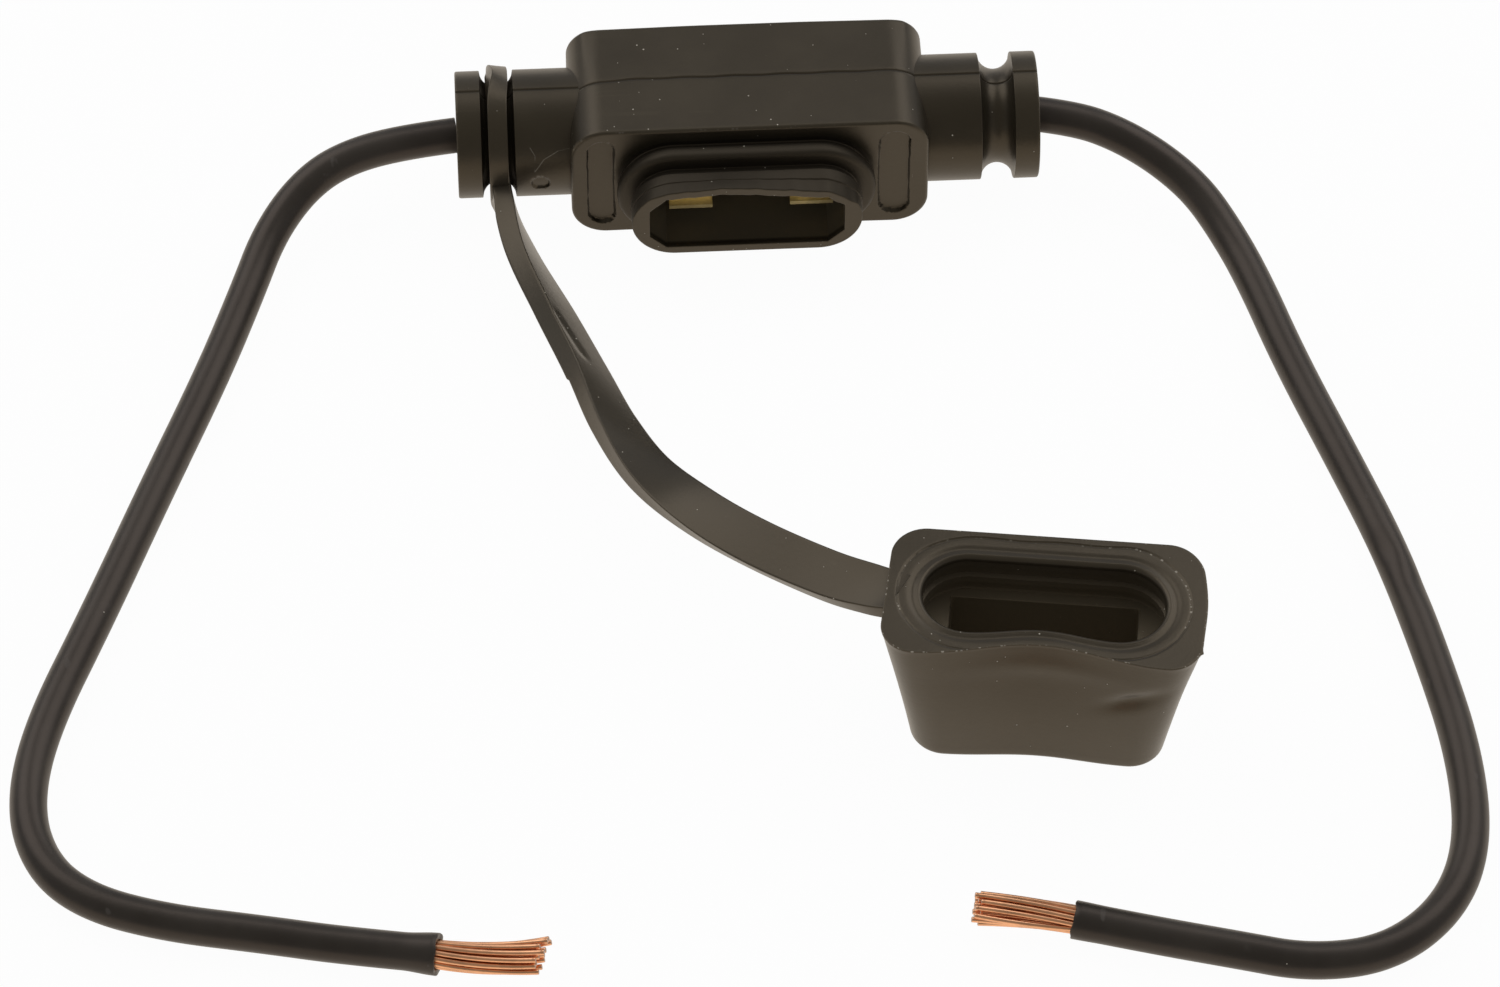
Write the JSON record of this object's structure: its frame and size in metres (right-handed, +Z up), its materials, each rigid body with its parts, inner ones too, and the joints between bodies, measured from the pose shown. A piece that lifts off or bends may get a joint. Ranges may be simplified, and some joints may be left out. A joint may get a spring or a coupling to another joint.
{
  "type": "in-line blade fuse holder",
  "caption": "In-line holder for a small blade fuse: moulded housing with a socket, push-on cap tethered by a strap and ring, and stripped wire leads.",
  "frame": {"origin": "centre of the housing's flat underside, which stands on the table", "axes": "+X along the necks towards the end with the free groove, -Y out of the fuse socket, +Z up"},
  "size_m": [0.0935, 0.0749, 0.0108],
  "materials": {
    "housing_rubber": "satin moulded",
    "cap_rubber": "satin moulded",
    "lead_jacket": "smooth vinyl",
    "contact_brass": "rolled strip",
    "strand_copper": "drawn bare copper"
  },
  "bodies": {
    "holder": {"housing": "housing_rubber", "contact_left": "contact_brass", "contact_right": "contact_brass", "lead_end_left": "lead_jacket", "lead_end_right": "lead_jacket", "lead_left": "lead_jacket", "lead_right": "lead_jacket", "strand_left_01": "strand_copper", "strand_left_02": "strand_copper", "strand_left_03": "strand_copper", "strand_left_04": "strand_copper", "strand_left_05": "strand_copper", "strand_left_06": "strand_copper", "strand_left_07": "strand_copper", "strand_left_08": "strand_copper", "strand_left_09": "strand_copper", "strand_left_10": "strand_copper", "strand_left_11": "strand_copper", "strand_left_12": "strand_copper", "strand_left_13": "strand_copper", "strand_left_14": "strand_copper", "strand_left_15": "strand_copper", "strand_left_16": "strand_copper", "strand_left_17": "strand_copper", "strand_left_18": "strand_copper", "strand_left_19": "strand_copper", "strand_right_01": "strand_copper", "strand_right_02": "strand_copper", "strand_right_03": "strand_copper", "strand_right_04": "strand_copper", "strand_right_05": "strand_copper", "strand_right_06": "strand_copper", "strand_right_07": "strand_copper", "strand_right_08": "strand_copper", "strand_right_09": "strand_copper", "strand_right_10": "strand_copper", "strand_right_11": "strand_copper", "strand_right_12": "strand_copper", "strand_right_13": "strand_copper", "strand_right_14": "strand_copper", "strand_right_15": "strand_copper", "strand_right_16": "strand_copper", "strand_right_17": "strand_copper", "strand_right_18": "strand_copper", "strand_right_19": "strand_copper"},
    "tethered_cap": {"cap": "cap_rubber"}
  },
  "joints": [
    {"name": "cap_swivel", "type": "hinge", "parent": "holder", "child": "tethered_cap", "pos_m": [-0.0168, 0, 0.0049], "axis": [1, 0, 0], "continuous": true}
  ]
}
